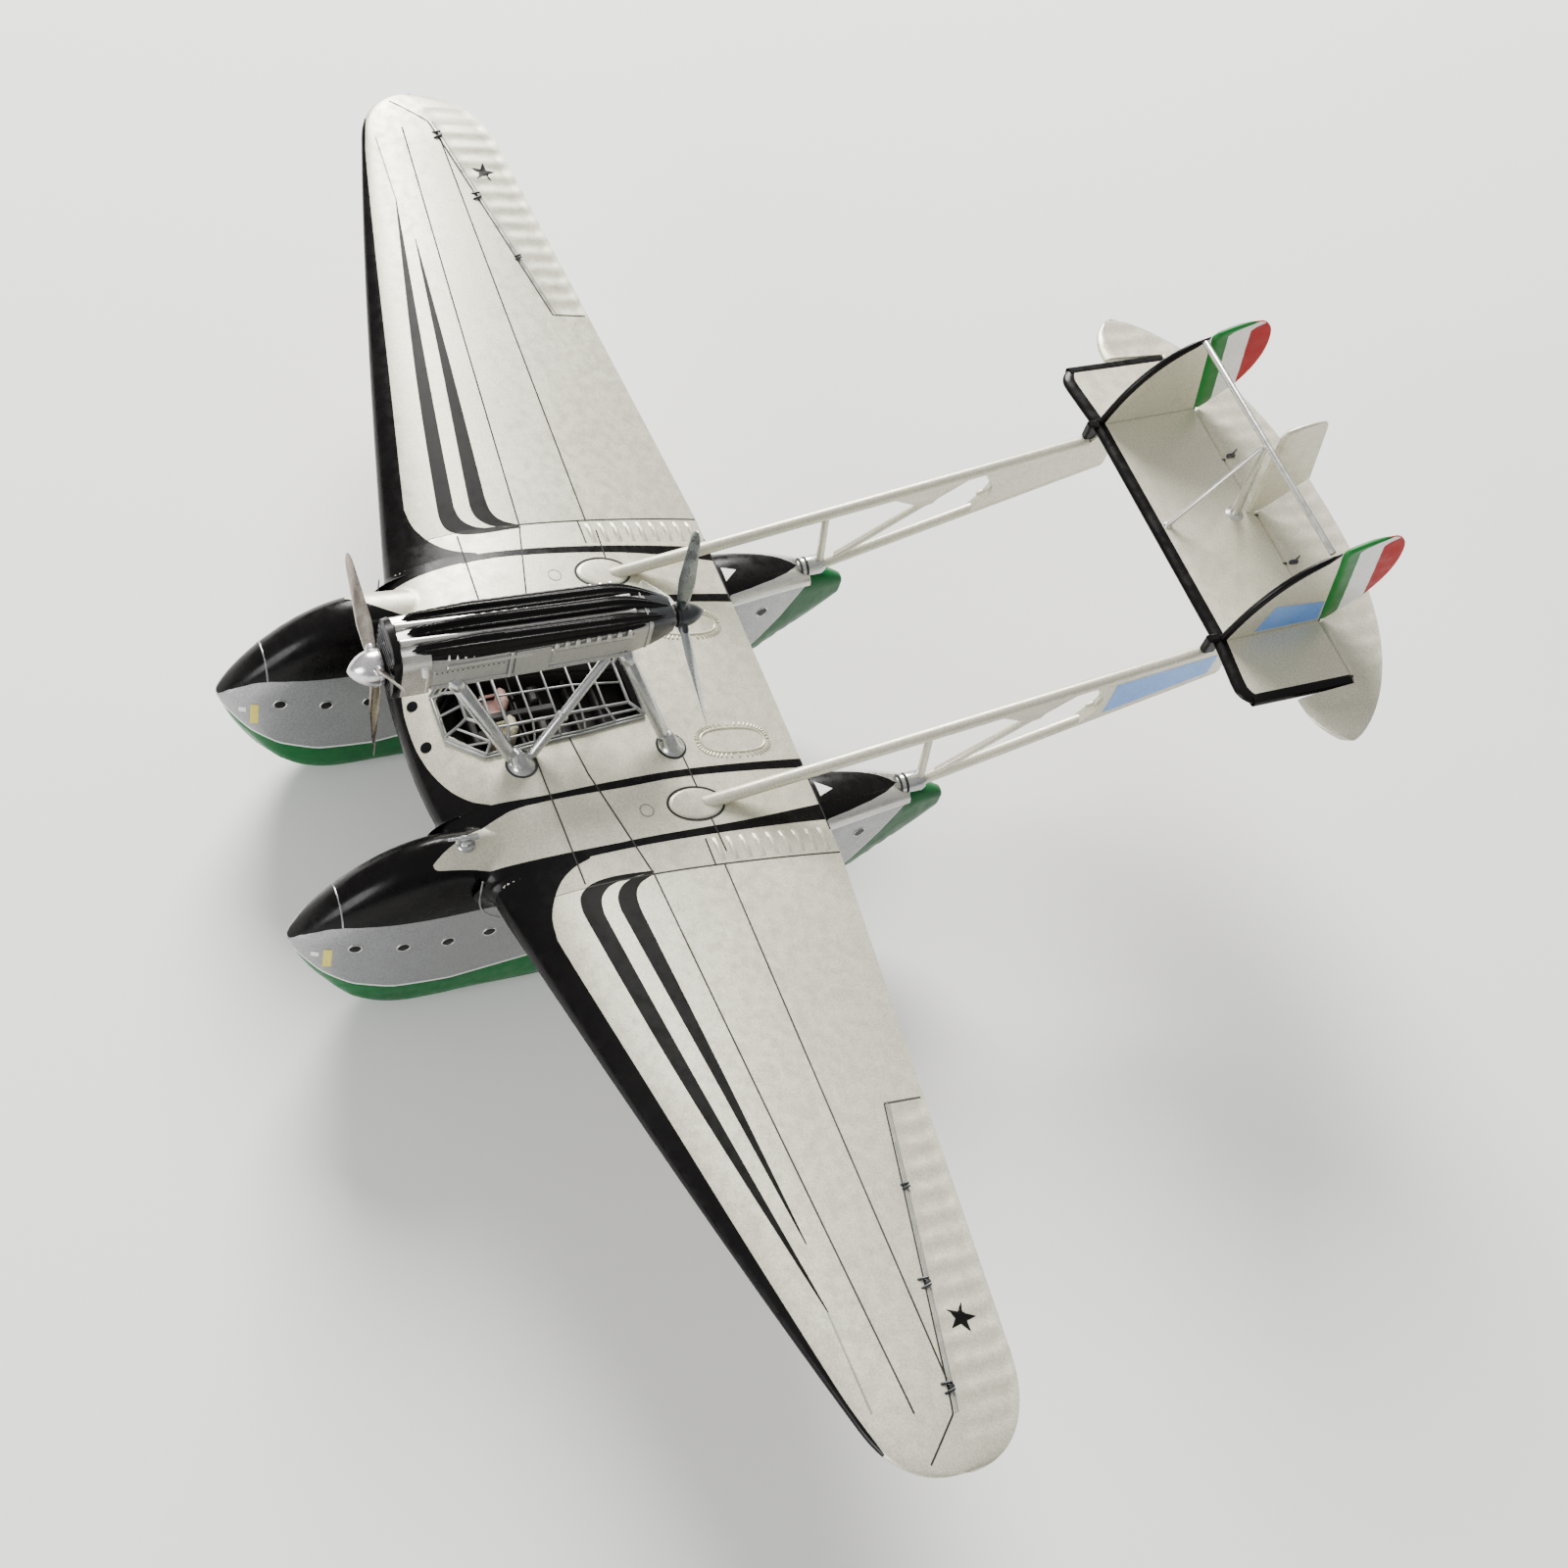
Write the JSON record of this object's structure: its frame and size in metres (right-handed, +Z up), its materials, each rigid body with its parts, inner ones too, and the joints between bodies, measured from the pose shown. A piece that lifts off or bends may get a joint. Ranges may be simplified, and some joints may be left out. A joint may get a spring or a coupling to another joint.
{
  "type": "twin-hull flying boat display model",
  "caption": "Small painted display model of a twin-hull flying boat with two tandem propellers on a strut-mounted nacelle and a twin-boom tail.",
  "frame": {"origin": "centre of the outer box on the plane that the keels stand on", "axes": "+Z up, noses towards -Y, port wing towards +X"},
  "size_m": [0.169, 0.1181, 0.0514],
  "materials": {
    "cabin_paint": "matt dark grey",
    "engine_silver": "darker aluminium paint with a dark wash",
    "gloss_black": "gloss black",
    "green_paint": "satin green",
    "propeller_silver": "burnished aluminium paint",
    "seat_paint": "matt flesh and cream",
    "silver_paint": "fine-grained aluminium paint, satin",
    "steel_pin": "plain"
  },
  "bodies": {
    "airframe": {"bow_gun": "engine_silver", "canopy_frame": "silver_paint", "centre_cylinder_bank": "gloss_black", "centre_rudder": "silver_paint", "cockpit_tub": "cabin_paint", "crankcase": "engine_silver", "elevator": "silver_paint", "port_boom_brace": "silver_paint", "port_boom_post": "silver_paint", "port_boom_web": "silver_paint", "port_cylinder_bank": "gloss_black", "port_deck_fairing": "silver_paint", "port_diagonal_strut": "silver_paint", "port_fin": "silver_paint", "port_front_exhausts": "engine_silver", "port_front_leg": "silver_paint", "port_hull": "silver_paint", "port_hull_bottom": "green_paint", "port_lower_boom": "silver_paint", "port_outer_wing": "silver_paint", "port_rear_exhausts": "engine_silver", "port_rear_leg": "silver_paint", "port_rudder": "silver_paint", "port_seat": "seat_paint", "port_upper_boom": "silver_paint", "radiator": "engine_silver", "rudder_post": "silver_paint", "rudder_top_bar": "silver_paint", "starboard_boom_brace": "silver_paint", "starboard_boom_post": "silver_paint", "starboard_boom_web": "silver_paint", "starboard_cylinder_bank": "gloss_black", "starboard_deck_fairing": "silver_paint", "starboard_diagonal_strut": "silver_paint", "starboard_fin": "silver_paint", "starboard_front_exhausts": "engine_silver", "starboard_front_leg": "silver_paint", "starboard_hull": "silver_paint", "starboard_hull_bottom": "green_paint", "starboard_lower_boom": "silver_paint", "starboard_outer_wing": "silver_paint", "starboard_rear_exhausts": "engine_silver", "starboard_rear_leg": "silver_paint", "starboard_rudder": "silver_paint", "starboard_seat": "seat_paint", "starboard_upper_boom": "silver_paint", "tail_brace": "silver_paint", "tailplane": "silver_paint", "wing_centre_section": "silver_paint"},
    "front_propeller": {"front_propeller": "propeller_silver", "front_propeller_pin": "steel_pin"},
    "rear_propeller": {"rear_propeller": "propeller_silver", "rear_propeller_pin": "steel_pin"}
  },
  "joints": [
    {"name": "front_propeller_spin", "type": "hinge", "parent": "airframe", "child": "front_propeller", "pos_m": [0, -0.0477, 0.03635], "axis": [0, 1, 0], "continuous": true},
    {"name": "rear_propeller_spin", "type": "hinge", "parent": "airframe", "child": "rear_propeller", "pos_m": [0, -0.017, 0.03635], "axis": [0, 1, 0], "continuous": true}
  ]
}
